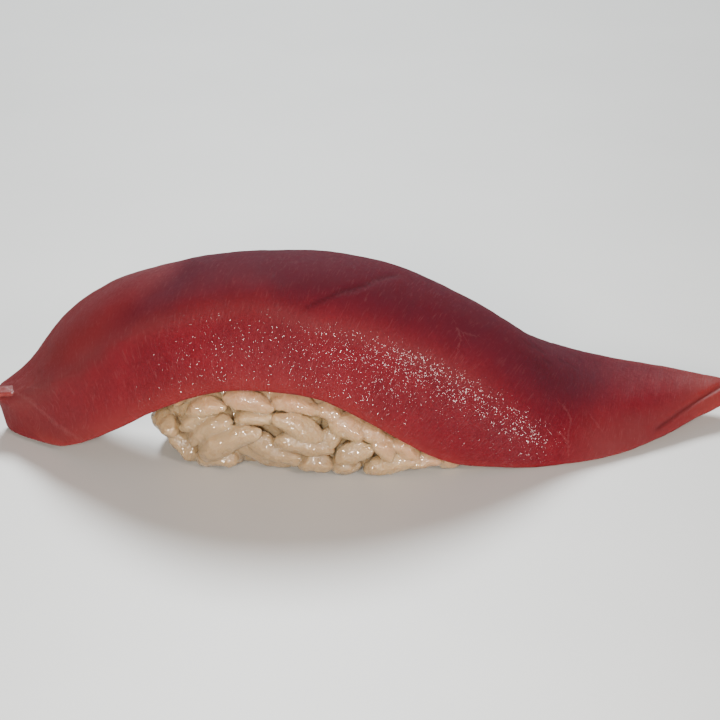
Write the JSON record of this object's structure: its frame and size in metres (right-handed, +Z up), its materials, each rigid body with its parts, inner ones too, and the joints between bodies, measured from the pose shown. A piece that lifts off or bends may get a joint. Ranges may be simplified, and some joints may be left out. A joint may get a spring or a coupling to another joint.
{
  "type": "tuna sushi",
  "caption": "Piece of tuna nigiri sushi: a thick slice of raw red tuna draped along a small hand-pressed block of rice, its ends hanging past the rice.",
  "frame": {"origin": "middle of the piece's outer box, on the level it stands on", "axes": "+X along the slice, from its thick cut end to its thin tip; +Y from the cut edge that shows to the edge behind; +Z up"},
  "size_m": [0.0822, 0.0224, 0.0209],
  "materials": {
    "tuna_flesh": "moist raw fish, deep red, slightly see-through at its thin edges",
    "cooked_rice": "moist cooked rice, warm white, slightly see-through"
  },
  "bodies": {
    "root": {"tuna_slice": "tuna_flesh", "rice": "cooked_rice"}
  },
  "joints": []
}
